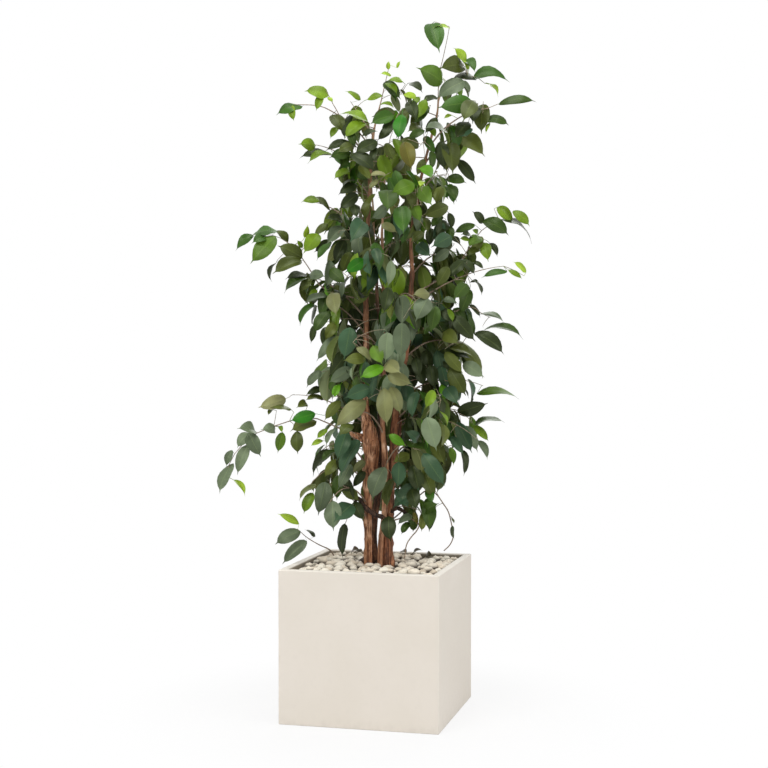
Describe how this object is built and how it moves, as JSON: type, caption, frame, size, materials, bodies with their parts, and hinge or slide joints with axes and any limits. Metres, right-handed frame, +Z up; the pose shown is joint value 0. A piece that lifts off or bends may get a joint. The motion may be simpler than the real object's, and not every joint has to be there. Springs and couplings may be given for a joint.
{
  "type": "potted weeping fig",
  "caption": "Weeping fig house plant with woody stems and drooping leafy branches, standing in a square planter topped with pebbles.",
  "frame": {"origin": "centre of the planter's underside", "axes": "+Z up, X and Y along the planter's sides, with the planter's front side facing -Y"},
  "size_m": [0.7471, 0.5277, 1.7403],
  "materials": {
    "planter": "matte",
    "soil": "matte",
    "pebbles": "matte",
    "bark": "matte",
    "dark_bark": "matte",
    "leaves": "satin"
  },
  "bodies": {
    "root": {"planter": "planter", "potting_soil": "soil", "pebble_mulch": "pebbles", "stem_1": "bark", "stem_2": "dark_bark", "stem_3": "bark", "stem_4": "bark", "aerial_twig": "bark", "branch_apex": "leaves", "branch_crown": "leaves", "branch_right_01": "leaves", "branch_right_02": "leaves", "branch_right_03": "leaves", "branch_right_04": "leaves", "branch_right_05": "leaves", "branch_right_06": "leaves", "branch_right_07": "leaves", "branch_right_08": "leaves", "branch_right_09": "leaves", "branch_right_10": "leaves", "branch_right_11": "leaves", "branch_right_12": "leaves", "branch_right_13": "leaves", "branch_right_14": "leaves", "branch_right_15": "leaves", "branch_left_01": "leaves", "branch_left_02": "leaves", "branch_left_03": "leaves", "branch_left_04": "leaves", "branch_left_05": "leaves", "branch_left_06": "leaves", "branch_left_07": "leaves", "branch_left_08": "leaves", "branch_left_09": "leaves", "branch_left_10": "leaves", "branch_left_11": "leaves", "branch_left_12": "leaves", "branch_left_13": "leaves", "branch_left_14": "leaves", "branch_left_15": "leaves", "branch_left_16": "leaves", "branch_left_17": "leaves", "branch_left_18": "leaves", "branch_front_01": "leaves", "branch_front_02": "leaves", "branch_front_03": "leaves", "branch_front_04": "leaves", "branch_front_05": "leaves", "branch_front_06": "leaves", "branch_front_07": "leaves", "branch_front_08": "leaves", "branch_front_09": "leaves", "branch_back_01": "leaves", "branch_back_02": "leaves", "branch_back_03": "leaves", "branch_back_04": "leaves", "branch_back_05": "leaves", "branch_back_06": "leaves", "branch_back_07": "leaves", "branch_back_08": "leaves"}
  },
  "joints": []
}
